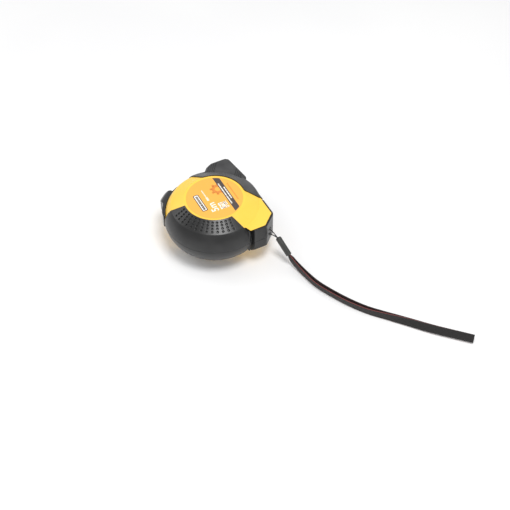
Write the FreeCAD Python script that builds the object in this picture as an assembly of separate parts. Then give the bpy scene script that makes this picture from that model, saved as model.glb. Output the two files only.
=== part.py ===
"""Pocket tape measure, 5 m x 19 mm, lying on its belt clip, with a lanyard and wrist strap.

Frame: the reel's axis is vertical (+Z), +X points out of the mouth, +Y is up when the tape
stands on its base, and Z = 0 is the surface that the belt clip lies on. Pieces are drawn
about the case's split plane, z = 0, and raised by SPLIT_HEIGHT when they are written.
Lengths are millimetres, angles are degrees anticlockwise from +X.
"""
import FreeCAD
import Part
import math
import os

V = FreeCAD.Vector
Z_AXIS = V(0, 0, 1)
ORIGIN = V(0, 0, 0)

# --- case, round part -------------------------------------------------------------------
CASE_RADIUS = 35.5          # side wall at the split plane
FACE_HALF = 17.7            # split plane to either flat face
LABEL_RADIUS = 20.0
FACE_RADIUS = LABEL_RADIUS + 1.4            # the flat face ends here and the shoulder falls away
SHOULDER_RADIUS = CASE_RADIUS - 4.5         # crease between the shoulder and the side wall
SHOULDER_HALF = 12.4        # height of that crease
BASE_Y = 31.5               # reel axis to the flat base
WALL = 2.4                  # shell wall, rubber included
BLOCK_HALF = 12.0           # half thickness of the corner and of the nose
BLOCK_ROUND = 2.2           # round on the upright edges of corner and nose
LABEL_SIDE_BEVEL = 0.8      # round their flat faces
CLIP_SIDE_BEVEL = 2.0
CLIP_CORNER_BEVEL = 4.4     # the corner's, wider than the nose's

# --- case, outlines of the arc centres at the corner and at the nose ------------------------
REAR_X = -CASE_RADIUS + BLOCK_ROUND
FRONT_X = CASE_RADIUS + 0.8 - BLOCK_ROUND
LOW_Y = -BASE_Y + BLOCK_ROUND
CORNER = [(0, 0), (REAR_X, -11.3), (REAR_X, LOW_Y + 8.2), (REAR_X + 7.3, LOW_Y), (-8.0, LOW_Y)]
NOSE = [(0, 0), (FRONT_X - 10.5, -5.1), (FRONT_X - 5.0, -9.1), (FRONT_X - 1.6, -12.5), (FRONT_X, -15.8),
        (FRONT_X, LOW_Y + 3.9), (FRONT_X - 0.8, LOW_Y + 3.1), (13.6, LOW_Y + 0.5)]
NOSE_FRONT = FRONT_X + BLOCK_ROUND

# --- soft mouldings ---------------------------------------------------------------------
RUBBER_DEEP = 1.2           # let into the shell
RUBBER_PROUD = 0.7          # stands above the shell
RUBBER_INNER_RADIUS = FACE_RADIUS + 0.5
REAR_GRIP = (83.7, 186.5, 75.0, 194.5)      # inner start, inner end, outer start, outer end
NOSE_BOOT = (-98.0, -4.0, -110.0, 8.0)
CORNER_WEDGE = (199.6, 248.5)
CORNER_TOP = 11.4           # the corner grip stops below the yellow face
CHANNEL_START = 192.0       # channel between rear grip and corner grip
CHANNEL_DEEP = 0.5          # its soft floor below the shell's face
CHANNEL_LINING = 1.9        # degrees of soft moulding behind its far wall
DIMPLE_RADIUS = 0.7
DIMPLE_DEPTH = 0.9
DIMPLE_ROWS = [2.3, 4.2, 6.2, 8.2]          # outside the flat face
DIMPLE_FIRST, DIMPLE_STEP, DIMPLE_COLUMNS = 90.0, 7.5, 13
RIB_DIRECTION = -38.0       # the nose's plain band runs this way
RIB_PITCH = 1.4
RIB_WIDTH = 0.7
RIB_DEPTH = 0.6
RIB_ZONES = [(6.9, 5), (-12.9, 4)]          # first groove beside the reel axis line, grooves
LEDGE_RADIUS = SHOULDER_RADIUS - 1.8        # the nose's side face starts here, with a step
LEDGE_ANGLES = (-66.0, -10.0)

# --- label ------------------------------------------------------------------------------
LABEL_THICK = 0.3
LABEL_SUNK = 0.1            # label's top below the face's rim

# --- blade and reel -----------------------------------------------------------------------
BLADE_WIDTH = 19.0
BLADE_THICK = 0.2           # steel and its coating
BLADE_CURVE = 16.0          # radius of the cross section
COIL_RADIUS = 25.4          # wound blade, outside
DRUM_RADIUS = 20.6          # wound blade, inside
DRUM_WALL = 1.3
DRUM_WIDTH = 19.6
DRUM_PLATE = 1.2
POST_RADIUS = 4.0
RUNNING_FIT = 0.06          # radial play of a turning fit
POST_SLOT = 0.6
HUB_GAP = 0.2               # axial play between the drum and the case's hubs
HUB_RADIUS = 7.0
GUIDE_GAP = 0.6             # axial play between the wound blade and the case's guide rings
GUIDE_RADII = [(DRUM_RADIUS + 0.2, DRUM_RADIUS + 1.3), (COIL_RADIUS + 0.6, COIL_RADIUS + 1.6)]
SPRING_THICK = 0.3
SPRING_WIDTH = 16.0
SPRING_TURNS = 9
SPRING_POINTS = 24          # points per turn
LEAD_GAP = 0.1              # the lead's start to the wound blade
LEAD_FLAT_TO = 3.0          # the lead is flat up to here and fully curved from LEAD_CURVED_FROM
LEAD_CURVED_FROM = 18.0
LEAD_SECTIONS = 6

# --- mouth and hook -----------------------------------------------------------------------
MOUTH_HALF = 10.2
MOUTH_FLOOR = COIL_RADIUS + 0.8             # below the reel axis
MOUTH_TOP = COIL_RADIUS - 4.8               # below the reel axis
MOUTH_START = 12.0
LINER_THICK = 0.5
LINER_START = 20.0
BUMPER_THICK = 1.0
BUMPER_HALF = 8.0
BUMPER_DEEP = 2.2
HOOK_THICK = 1.0
HOOK_GAP = 0.3                              # lip to the blade's end, hook pushed in
HOOK_TAB = 13.0
HOOK_TAB_HALF = 6.5
HOOK_TAB_THICK = 0.6
HOOK_TOP = COIL_RADIUS - 3.4                # below the reel axis
HOOK_BOTTOM = BASE_Y - 0.4
HOOK_HALF = 9.0
HOOK_ROUND = 2.5
HOOK_PLAY = 1.0
RIVET_RADIUS = 0.9
RIVET_HEAD_RADIUS = 1.7
RIVET_HEAD = 0.4
RIVET_CLEAR = 0.2                           # round each shank in the hook's slots
RIVET_PLACES = [(4.0, 3.2), (4.0, -3.2), (9.0, 0.0)]    # behind the lip, across the blade

# --- thumb lock -----------------------------------------------------------------------------
ARM_INNER = COIL_RADIUS + 2.2
ARM_OUTER = ARM_INNER + 2.0
ARM_HALF = 5.0
ARM_ANGLES = (-38.0, 68.0)
LOCK_TRAVEL = 12.0
STEM_ANGLES = (34.0, 47.0)
STEM_HALF = 3.1
STEM_TOP = CASE_RADIUS + 1.9
SLOT_PLAY = 0.3
SLOT_SPARE = 0.6            # degrees of slot beyond the stem at each end
PAD_ANGLES = (-42.0, -38.0)
PAD_OUTER = ARM_OUTER + 0.9
PAD_HALF = 4.0
BUTTON_LIFT = 0.35          # button's skirt above the case
BUTTON_HALF = 5.4
BUTTON_EDGE = 2.0           # the knob's crown above the case at its sides and at its middle
BUTTON_CROWN = 6.3
# height above the case and angle; the low part past 54 degrees is the tail
BUTTON_OUTLINE = [(1.4, 31.0), (4.2, 32.8), (5.5, 36.0), (6.2, 41.5), (5.6, 45.8), (4.2, 49.0),
                  (2.6, 51.4), (1.9, 54.5), (1.9, 62.0), (1.8, 67.0), (1.2, 72.0)]
SKIRT_ANGLES = (21.0, 35.0) # thin lip in front of the knob, over the slot
SKIRT_HALF = 4.2
SKIRT_TOP = 1.4

# --- screws -----------------------------------------------------------------------------------
SCREW_CIRCLE = CASE_RADIUS - 4.9
SCREW_PLACES = [(0.0, SCREW_CIRCLE), (-SCREW_CIRCLE, 0.0), (REAR_X + 3.2, -15.2), (FRONT_X - 4.9, -13.6)]
SCREW_RADIUS = 1.1
SCREW_HEAD_RADIUS = 2.2
SCREW_HEAD = 1.4
SCREW_SEAT = 9.4            # head's seat below the split plane
SCREW_REACH = 7.0           # thread's end above the split plane
SCREW_CLEAR = 0.15
BOSS_RADIUS = 2.4
CROSS_SLOT = 0.6

# --- belt clip ----------------------------------------------------------------------------------
CLIP_DROP = 5.8             # clip's outer face below the case's face
CLIP_THICK = 1.0
CLIP_WIDTH = 18.0
CLIP_BEND_Y = 17.6          # start of the bend, up the case
CLIP_FOOT_END = 4.0
CLIP_LEG_END = -6.0         # end of the flat part of the leg
CLIP_DIP_Y = -14.0
CLIP_DIP = 2.0
CLIP_TIP_Y = -20.0
CLIP_SCREW_Y = 11.0
CLIP_SCREW_RADIUS = 1.5
CLIP_SCREW_HEAD_RADIUS = 2.8
CLIP_SCREW_HEAD = 1.6
CLIP_SCREW_LENGTH = 6.0
CLIP_ACCESS_RADIUS = 3.4

# --- lanyard --------------------------------------------------------------------------------------
CORD_DIAMETER = 0.8
CORD_SPREAD = 2.7           # each strand from the split plane where it leaves the corner
BAR_RADIUS = 2.15
BAR_LENGTH = 9.0
BAR_DEPTH = 5.0             # bar's axis below the corner's slanted face
TUNNEL_CLEAR = 0.9
CORD_POINTS = [(-40.0, -31.7, -7.3), (-37.1, -30.7, -4.1), (-31.7, -27.1, 2.7), (-25.6, -21.7, 2.7),
               (-25.6, -21.7, -2.7), (-31.7, -27.1, -2.7), (-36.6, -31.5, -4.9), (-39.4, -32.6, -7.9)]
SLEEVE_START = (-36.5, -31.0, -4.2)
SLEEVE_END = (-46.4, -34.6, -14.5)
SLEEVE_RADIUS = 2.1
SLEEVE_BORE = 1.35
SLEEVE_ROUND = 0.9
STRAP_WIDTH = 5.6
STRAP_LIFT = 0.1           # above the surface
STRAP_NECK = (1.9, 1.2)     # its end squeezed into the sleeve
STRAP_MOUTH = (4.2, 2.2)    # a little outside the sleeve
STRAP_TUCK = 8.0            # length held inside the sleeve
STRAP_BEND = 2.9            # straight on past the sleeve
# x, y, the strap's tilt (90 stands on edge, 0 lies flat), how far it is off the surface and
# the thickness of both layers with the gap between them
STRAP_POINTS = [(-53.8, -37.0, 93, 1.2, 2.3), (-63.0, -38.9, 97, 0, 2.8),
                (-74.6, -41.1, 101, 0, 3.2), (-86.5, -46.2, 101, 0, 3.2),
                (-98.6, -52.2, 99, 0, 3.2), (-111.0, -60.1, 95, 0, 3.0),
                (-121.7, -69.7, 84, 0, 2.4), (-133.1, -79.9, 65, 0, 1.8),
                (-145.4, -90.7, 52, 0, 1.8), (-156.0, -101.4, 46, 0, 1.8),
                (-165.2, -110.7, 42, 0, 1.8)]

SPLIT_HEIGHT = FACE_HALF + CLIP_DROP
FAR = 60.0                  # longer than any cut needs
MOUTH_LINE = -COIL_RADIUS - LEAD_GAP - BLADE_THICK / 2  # the straight blade's middle
HOOK_X = NOSE_FRONT + RUBBER_PROUD + BUMPER_THICK - 0.1  # back of the hook's lip
LEAD_END = HOOK_X - HOOK_GAP
CLIP_FACE = -FACE_HALF
SHELL_TOP = FACE_HALF - WALL
LABEL_BEVELS = (LABEL_SIDE_BEVEL, LABEL_SIDE_BEVEL)     # the nose's and the corner's
CLIP_BEVELS = (CLIP_SIDE_BEVEL, CLIP_CORNER_BEVEL)


# --- plain helpers --------------------------------------------------------------------------------
def polar(radius, angle, z=0.0):
    return V(radius * math.cos(math.radians(angle)), radius * math.sin(math.radians(angle)), z)


def box(x0, x1, y0, y1, z0, z1):
    return Part.makeBox(x1 - x0, y1 - y0, z1 - z0, V(x0, y0, z0))


def cylinder(radius, z0, z1, x=0.0, y=0.0):
    return Part.makeCylinder(radius, z1 - z0, V(x, y, z0))


def ring(inner, outer, z0, z1):
    return cylinder(outer, z0, z1).cut(cylinder(inner, z0, z1))


def prism(points, z0, z1):
    """Upright prism on a closed outline of (x, y) points."""
    loop = [V(x, y, z0) for x, y in points]
    return Part.Face(Part.makePolygon(loop + loop[:1])).extrude(V(0, 0, z1 - z0))


def arc_through(a, b, c):
    return Part.Arc(a, b, c).toShape()


def wedge(inner, outer, start, end, half):
    """Part of a ring between two angles, about the split plane."""
    middle = (start + end) / 2
    wire = Part.Wire([
        arc_through(polar(outer, start, -half), polar(outer, middle, -half), polar(outer, end, -half)),
        Part.makeLine(polar(outer, end, -half), polar(inner, end, -half)),
        arc_through(polar(inner, end, -half), polar(inner, middle, -half), polar(inner, start, -half)),
        Part.makeLine(polar(inner, start, -half), polar(outer, start, -half))])
    return Part.Face(wire).extrude(V(0, 0, 2 * half))


def above(shape):
    return shape.common(box(-FAR, FAR, -FAR, FAR, 0, FAR))


def below(shape):
    return shape.common(box(-FAR, FAR, -FAR, FAR, -FAR, 0))


def mirrored(shape):
    return shape.mirror(ORIGIN, Z_AXIS)


def merged(shape):
    return shape.removeSplitter()


# --- outer form -----------------------------------------------------------------------------------
def bulge():
    """Centre and radius of the side wall's arc, through the crease and the equator."""
    run = SHOULDER_RADIUS - CASE_RADIUS
    centre = (SHOULDER_RADIUS ** 2 + SHOULDER_HALF ** 2 - CASE_RADIUS ** 2) / (2 * run)
    return centre, CASE_RADIUS - centre


def round_body(out):
    """The round part of the case, every face moved outwards by out."""
    run, fall = SHOULDER_RADIUS - FACE_RADIUS, FACE_HALF - SHOULDER_HALF
    slope = math.hypot(run, fall)
    normal_r, normal_z = fall / slope, run / slope
    rim = FACE_RADIUS + out * (1 - normal_z) / normal_r
    top = FACE_HALF + out
    centre, radius = bulge()
    radius += out
    # where the moved shoulder meets the moved side wall
    across = (rim - centre) * normal_r + top * normal_z
    along = math.sqrt(radius ** 2 - across ** 2)
    edge_r = centre + across * normal_r + along * normal_z
    edge_z = across * normal_z - along * normal_r
    wire = Part.Wire([
        Part.makeLine(V(0, 0, -top), V(rim, 0, -top)),
        Part.makeLine(V(rim, 0, -top), V(edge_r, 0, -edge_z)),
        arc_through(V(edge_r, 0, -edge_z), V(centre + radius, 0, 0), V(edge_r, 0, edge_z)),
        Part.makeLine(V(edge_r, 0, edge_z), V(rim, 0, top)),
        Part.makeLine(V(rim, 0, top), V(0, 0, top)),
        Part.makeLine(V(0, 0, top), V(0, 0, -top))])
    return Part.Face(wire).revolve(ORIGIN, Z_AXIS, 360)


def plain_block(centres, out):
    """Upright block, its outline of arc centres grown by the round."""
    loop = [V(x, y, 0) for x, y in centres]
    flat = Part.Face(Part.makePolygon(loop + loop[:1])).makeOffset2D(BLOCK_ROUND + out, 0)
    half = BLOCK_HALF + out
    flat.translate(V(0, 0, -half))
    return flat.extrude(V(0, 0, 2 * half))


def block(centres, out, bevel):
    """Nose: its outer form is bevelled all round."""
    solid = plain_block(centres, out)
    if out < 0:
        return solid
    edges = [edge for edge in solid.Edges if abs(edge.BoundBox.ZMax - edge.BoundBox.ZMin) < 0.01]
    return solid.makeChamfer(bevel, edges)


def sloped_block(centres, out, bevel):
    """Corner: every outer side is cut back at 45 degrees towards the flat face."""
    solid = plain_block(centres, out)
    high = BLOCK_HALF + out + 1
    reach = BLOCK_ROUND + BLOCK_HALF - bevel + out * math.sqrt(2)   # side distance and height together
    for a, b in zip(centres, centres[1:]):
        along = (V(*b, 0) - V(*a, 0)).normalize()
        normal = V(along.y, -along.x, 0)
        section = [(reach - high, high), (reach, 0), (reach + high, 0), (reach + high, high)]
        loop = [V(*a, 0) - along * FAR + normal * side + Z_AXIS * height for side, height in section]
        solid = solid.cut(Part.Face(Part.makePolygon(loop + loop[:1])).extrude(along * (2 * FAR)))
    return solid


def envelope(out, bevels):
    """Outer form of the whole case, moved outwards by out; bevels are the nose's and the corner's."""
    nose_bevel, corner_bevel = bevels
    low = BASE_Y + out
    body = round_body(out).common(box(-FAR, FAR, -low, FAR, -FAR, FAR))
    return merged(body.fuse([sloped_block(CORNER, out, corner_bevel), block(NOSE, out, nose_bevel)]))


def patch_region(angles):
    """Upright prism outside the label's rim, between two slanted straight ends."""
    inner_start, inner_end, outer_start, outer_end = angles

    def end_line(inner_angle, outer_angle):
        near = polar(RUBBER_INNER_RADIUS, inner_angle)
        step = polar(CASE_RADIUS, outer_angle) - near
        return near, near + step * 4

    near_a, far_a = end_line(inner_start, outer_start)
    near_b, far_b = end_line(inner_end, outer_end)
    outside = [polar(2 * FAR, outer_start + (outer_end - outer_start) * k / 4) for k in (1, 2, 3)]
    inner_arc = arc_through(near_b, polar(RUBBER_INNER_RADIUS, (inner_start + inner_end) / 2), near_a)
    wire = Part.Wire(Part.makePolygon([near_a, far_a] + outside + [far_b, near_b]).Edges + [inner_arc])
    return Part.Face(wire).extrude(V(0, 0, FAR))


def slanted_frame():
    """Middle of the corner's slanted face, its outward normal and its direction."""
    a, b = V(*CORNER[2], 0), V(*CORNER[3], 0)
    along = (b - a).normalize()
    normal = V(along.y, -along.x, 0)
    return (a + b) * 0.5 + normal * BLOCK_ROUND, normal, along


# --- soft mouldings ---------------------------------------------------------------------------------
def dimples():
    """Round dimples, square to the shoulder, in rows round the reel axis."""
    tilt = math.atan2(FACE_HALF - SHOULDER_HALF, SHOULDER_RADIUS - FACE_RADIUS)
    pits = []
    for column in range(DIMPLE_COLUMNS):
        angle = DIMPLE_FIRST + column * DIMPLE_STEP
        outwards = polar(math.sin(tilt), angle, math.cos(tilt))
        for row in DIMPLE_ROWS:
            height = FACE_HALF - row * math.tan(tilt) + RUBBER_PROUD / math.cos(tilt)
            bottom = polar(FACE_RADIUS + row, angle, height) - outwards * DIMPLE_DEPTH
            pits.append(Part.makeCylinder(DIMPLE_RADIUS, 2 * DIMPLE_DEPTH, bottom, outwards))
    return Part.makeCompound(pits)


def nose_grooves():
    """Ledge round the nose's side face and the ribs beside its plain band."""
    along = polar(1, RIB_DIRECTION)
    across = V(-along.y, along.x, 0)
    top = BLOCK_HALF + RUBBER_PROUD
    ledge = wedge(LEDGE_RADIUS, CASE_RADIUS, *LEDGE_ANGLES, FACE_HALF / 2)
    ledge.translate(V(0, 0, top + FACE_HALF / 2))
    cuts = [ledge]
    for first, count in RIB_ZONES:
        for k in range(count):
            beside = first + k * RIB_PITCH
            start = along * math.sqrt((LEDGE_RADIUS + RIB_WIDTH) ** 2 - beside ** 2) + across * beside
            groove = box(0, FAR, -RIB_WIDTH / 2, RIB_WIDTH / 2, top - RIB_DEPTH, top + 1)
            groove.rotate(ORIGIN, Z_AXIS, RIB_DIRECTION)
            groove.translate(start)
            cuts.append(groove)
    return cuts


def soft_patch(skin, region):
    return merged(above(skin.common(region)))


def rubber_pieces(bevels):
    """Rear grip, nose boot and corner grip of the label side before any holes, and the open channel."""
    inner, outer = envelope(-RUBBER_DEEP, bevels), envelope(RUBBER_PROUD, bevels)
    skin = outer.cut(inner)
    rear_region = patch_region(REAR_GRIP)
    rear = soft_patch(skin, rear_region)
    boot = soft_patch(skin, patch_region(NOSE_BOOT))
    start, end = CORNER_WEDGE
    corner = soft_patch(skin, wedge(SHOULDER_RADIUS - 1, FAR, start, end, CORNER_TOP))
    channel = above(wedge(SHOULDER_RADIUS - 1, FAR, CHANNEL_START, start, CORNER_TOP)).cut(rear_region)
    behind = above(wedge(SHOULDER_RADIUS - 1, FAR, start, start + CHANNEL_LINING, CORNER_TOP))
    below_skin = round_body(-RUBBER_DEEP)
    floor = channel.common(round_body(-CHANNEL_DEEP)).cut(below_skin)
    lining = behind.common(outer).cut(below_skin)
    return rear, boot, merged(corner.fuse([floor, lining])), channel.cut(round_body(-CHANNEL_DEEP))


# --- openings in the case -----------------------------------------------------------------------------
def mouth_cut():
    return box(MOUTH_START, FAR, -MOUTH_FLOOR, -MOUTH_TOP, -MOUTH_HALF, MOUTH_HALF)


def lock_cut():
    return wedge(ARM_OUTER, FAR, STEM_ANGLES[0] - LOCK_TRAVEL - SLOT_SPARE, STEM_ANGLES[1] + SLOT_SPARE,
                 STEM_HALF + SLOT_PLAY)


def lanyard_cut():
    """Seat of the bar, the ring tunnel round it and the cord's two holes."""
    face, normal, along = slanted_frame()
    middle = face - normal * BAR_DEPTH
    seat = Part.makeCylinder(BAR_RADIUS, BAR_LENGTH, middle - along * (BAR_LENGTH / 2), along)
    hole = CORD_DIAMETER / 2 + TUNNEL_CLEAR
    tunnel = Part.makeCylinder(CORD_SPREAD + hole, 2 * hole, middle - along * hole, along)
    holes = [Part.makeCylinder(hole, 2 * BAR_DEPTH, middle + Z_AXIS * side, normal)
             for side in (-CORD_SPREAD, CORD_SPREAD)]
    return seat.fuse([tunnel] + holes)


def bumper_box(play=0.0):
    low = MOUTH_FLOOR + LINER_THICK
    return box(NOSE_FRONT + RUBBER_PROUD - BUMPER_DEEP, HOOK_X - 0.1, -low - BUMPER_THICK, -low,
               -BUMPER_HALF - play, BUMPER_HALF + play)


def liner():
    """Steel strip let into the mouth's floor."""
    return box(LINER_START, NOSE_FRONT - 0.6, -MOUTH_FLOOR - LINER_THICK, -MOUTH_FLOOR,
               -MOUTH_HALF + 0.4, MOUTH_HALF - 0.4)


# --- shells -------------------------------------------------------------------------------------------
def bare_shell(rubbers, bevels):
    """Label-side half of the case: walls, hub, guide rings and screw bosses."""
    inside = round_body(-WALL).common(box(-FAR, FAR, -BASE_Y + WALL, FAR, -FAR, FAR))
    half = above(envelope(0, bevels)).cut(list(rubbers))
    hollow = half.cut(inside)
    inner_form = above(inside)
    hub = cylinder(HUB_RADIUS, DRUM_WIDTH / 2 + HUB_GAP, FACE_HALF - 1)
    guides = [ring(a, b, BLADE_WIDTH / 2 + GUIDE_GAP, FACE_HALF).common(inner_form) for a, b in GUIDE_RADII]
    bosses = [cylinder(BOSS_RADIUS, 0, SHOULDER_HALF - 1, x, y).common(inner_form) for x, y in SCREW_PLACES]
    solid = hollow.fuse([hub] + guides + bosses)
    return merged(solid.cut([mouth_cut(), lock_cut(), lanyard_cut(), bumper_box(), liner()]))


def post():
    """Fixed arbor through the reel, slotted for the power spring."""
    body = cylinder(POST_RADIUS, -SHELL_TOP, SHELL_TOP)
    return body.cut(box(-FAR, FAR, -POST_SLOT / 2, POST_SLOT / 2, -SPRING_WIDTH / 2, FAR))


def label_side_shell(rubbers):
    shell = bare_shell(rubbers, LABEL_BEVELS)
    dish = cylinder(LABEL_RADIUS + 0.1, FACE_HALF - LABEL_THICK - LABEL_SUNK, FACE_HALF + 1)
    pilots = [cylinder(SCREW_RADIUS, 0, SCREW_REACH, x, y) for x, y in SCREW_PLACES]
    return merged(shell.cut([dish, cylinder(POST_RADIUS, 0, SHELL_TOP)] + pilots))


def clip_side_shell(rubbers):
    shell = mirrored(bare_shell(rubbers, CLIP_BEVELS))
    clip_screw = cylinder(CLIP_SCREW_RADIUS, CLIP_FACE - 1, CLIP_FACE + CLIP_SCREW_LENGTH, 0, CLIP_SCREW_Y)
    clip_boss = cylinder(BOSS_RADIUS + 1, -SHELL_TOP - 0.5, -DRUM_WIDTH / 2 - HUB_GAP, 0, CLIP_SCREW_Y)
    shell = shell.fuse(clip_boss)
    return merged(shell.cut([cylinder(POST_RADIUS, -SHELL_TOP, 0), clip_screw] + screw_ways()))


def screw_ways():
    """Clearance for each case screw: its shank and, outside, its head."""
    ways = []
    for x, y in SCREW_PLACES:
        ways.append(cylinder(SCREW_RADIUS + SCREW_CLEAR, -SCREW_SEAT, 0, x, y))
        ways.append(cylinder(SCREW_HEAD_RADIUS + SCREW_CLEAR, -FAR, -SCREW_SEAT, x, y))
    return ways


def case_screw(x, y):
    shank = cylinder(SCREW_RADIUS, -SCREW_SEAT, SCREW_REACH, x, y)
    head = cylinder(SCREW_HEAD_RADIUS, -SCREW_SEAT - SCREW_HEAD, -SCREW_SEAT, x, y)
    arm = SCREW_HEAD_RADIUS * 0.6
    low = -SCREW_SEAT - SCREW_HEAD
    cross = [box(x - a, x + a, y - b, y + b, low, low + SCREW_HEAD * 0.6)
             for a, b in ((arm, CROSS_SLOT / 2), (CROSS_SLOT / 2, arm))]
    return merged(shank.fuse(head)).cut(cross)


# --- reel -----------------------------------------------------------------------------------------------
def drum():
    """Cup that the blade is wound on; its plate turns on the post."""
    half = DRUM_WIDTH / 2
    wall = ring(DRUM_RADIUS - DRUM_WALL, DRUM_RADIUS, -half, half)
    plate = ring(POST_RADIUS + RUNNING_FIT, DRUM_RADIUS - DRUM_WALL, -half, -half + DRUM_PLATE)
    return merged(wall.fuse(plate))


def drum_cover():
    half = DRUM_WIDTH / 2
    return ring(POST_RADIUS + RUNNING_FIT, DRUM_RADIUS - DRUM_WALL, half - DRUM_PLATE, half)


def power_spring():
    """Flat spiral, from a tab in the post's slot to the drum's wall, as one strip."""
    start, end = POST_RADIUS + 1.0, DRUM_RADIUS - DRUM_WALL - SPRING_THICK
    count = SPRING_TURNS * SPRING_POINTS
    # the turns lie closer together towards the drum's wall, as in a tape at rest
    def radius(k):
        share = k / count
        return start + (end - start) * share ** 0.7
    inner = [polar(radius(k), 360.0 * k / SPRING_POINTS) for k in range(count + 1)]
    outer = [polar(radius(k) + SPRING_THICK, 360.0 * k / SPRING_POINTS) for k in range(count + 1)]
    curves = []
    for points in (inner, outer):
        curve = Part.BSplineCurve()
        curve.interpolate(points)
        curves.append(curve.toShape())
    strip = Part.Face(Part.Wire([curves[0], Part.makeLine(inner[-1], outer[-1]), curves[1],
                                 Part.makeLine(outer[0], inner[0])]))
    strip.translate(V(0, 0, -SPRING_WIDTH / 2))
    spiral = strip.extrude(V(0, 0, SPRING_WIDTH))
    tab = box(-1.0, start + SPRING_THICK / 2, -SPRING_THICK / 2, SPRING_THICK / 2,
              -SPRING_WIDTH / 2, SPRING_WIDTH / 2)
    return merged(spiral.fuse(tab))


# --- blade and hook -------------------------------------------------------------------------------------
def blade_section(x, share, thick=BLADE_THICK, half=BLADE_WIDTH / 2, lift=0.0):
    """Cross section at x: share 0 is flat, 1 is the full curve, hollow side up."""
    rise = (BLADE_CURVE - math.sqrt(BLADE_CURVE ** 2 - half ** 2)) * max(share, 0.02)
    radius = (half ** 2 + rise ** 2) / (2 * rise)
    low, high = MOUTH_LINE + lift - thick / 2, MOUTH_LINE + lift + thick / 2

    def arc(bottom):
        edge = V(x, bottom + rise, half)
        return Part.Arc(edge, V(x, bottom, 0), V(x, bottom + rise, -half)).toShape(), radius

    lower, _ = arc(low)
    upper, _ = arc(high)
    return Part.Wire([lower, Part.makeLine(V(x, low + rise, -half), V(x, high + rise, -half)),
                      upper, Part.makeLine(V(x, high + rise, half), V(x, low + rise, half))])


def ease(share):
    return share * share * (3 - 2 * share)


def lead():
    """Straight end of the blade: flat where it leaves the coil, curved from there to the hook."""
    span = LEAD_CURVED_FROM - LEAD_FLAT_TO
    wires = [blade_section(0, 0)]
    for k in range(LEAD_SECTIONS + 1):
        share = k / LEAD_SECTIONS
        wires.append(blade_section(LEAD_FLAT_TO + span * share, ease(share)))
    curved = Part.makeLoft(wires, True, True)
    straight = Part.makeLoft([blade_section(LEAD_CURVED_FROM, 1), blade_section(LEAD_END, 1)], True, True)
    holes = [rivet_shank(behind, side) for behind, side in RIVET_PLACES]
    return merged(curved.fuse(straight)).cut(holes)


def rivet_shank(behind, side, grow=0.0):
    return Part.makeCylinder(RIVET_RADIUS + grow, 6, V(HOOK_X - behind, MOUTH_LINE - 3, side), V(0, 1, 0))


def blade_rise(side):
    return BLADE_CURVE - math.sqrt(BLADE_CURVE ** 2 - side ** 2)


def rivet(behind, side):
    """Shank through blade and tab with a flat head on each side."""
    middle = MOUTH_LINE + blade_rise(side)
    tilt = math.asin(side / BLADE_CURVE)
    up = V(0, math.cos(tilt), -math.sin(tilt))
    foot = V(HOOK_X - behind, middle, side)
    under = BLADE_THICK / 2 + 0.02
    over = BLADE_THICK / 2 + HOOK_TAB_THICK + 0.12
    shank = Part.makeCylinder(RIVET_RADIUS, over + under, foot - up * under, up)
    low_head = Part.makeCylinder(RIVET_HEAD_RADIUS, RIVET_HEAD, foot - up * (under + RIVET_HEAD), up)
    high_head = Part.makeCylinder(RIVET_HEAD_RADIUS, RIVET_HEAD, foot + up * over, up)
    return merged(shank.fuse([low_head, high_head]))


def rivets():
    """Three rivets; each bites only the blade, the hook's tab slides on them."""
    return Part.makeCompound([rivet(behind, side) for behind, side in RIVET_PLACES])


def hook():
    """Steel lip in front of the blade with a curved tab lying in the blade's hollow."""
    lift = BLADE_THICK / 2 + HOOK_TAB_THICK / 2 + 0.05
    tab = Part.makeLoft([blade_section(HOOK_X - HOOK_TAB, 1, HOOK_TAB_THICK, HOOK_TAB_HALF, lift),
                         blade_section(HOOK_X + HOOK_THICK / 2, 1, HOOK_TAB_THICK, HOOK_TAB_HALF, lift)],
                        True, True)
    lip = box(HOOK_X, HOOK_X + HOOK_THICK, -HOOK_BOTTOM, -HOOK_TOP, -HOOK_HALF, HOOK_HALF)
    lower = [edge for edge in lip.Edges
             if edge.BoundBox.XLength > 0.5 * HOOK_THICK and edge.BoundBox.YMax < -HOOK_BOTTOM + 0.1]
    lip = lip.makeFillet(HOOK_ROUND, lower)
    solid = merged(lip.fuse(tab))
    for behind, side in RIVET_PLACES:
        ends = [rivet_shank(behind, side, RIVET_CLEAR), rivet_shank(behind + HOOK_PLAY, side, RIVET_CLEAR)]
        x = HOOK_X - behind
        width = RIVET_RADIUS + RIVET_CLEAR
        middle = box(x - HOOK_PLAY, x, MOUTH_LINE - 3, MOUTH_LINE + 3, side - width, side + width)
        solid = solid.cut(ends + [middle])
    return solid


# --- thumb lock ------------------------------------------------------------------------------------------
def lock_slider():
    arm = wedge(ARM_INNER, ARM_OUTER, *ARM_ANGLES, ARM_HALF)
    stem = wedge(ARM_OUTER - 0.5, STEM_TOP, *STEM_ANGLES, STEM_HALF)
    return merged(arm.fuse(stem))


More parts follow.
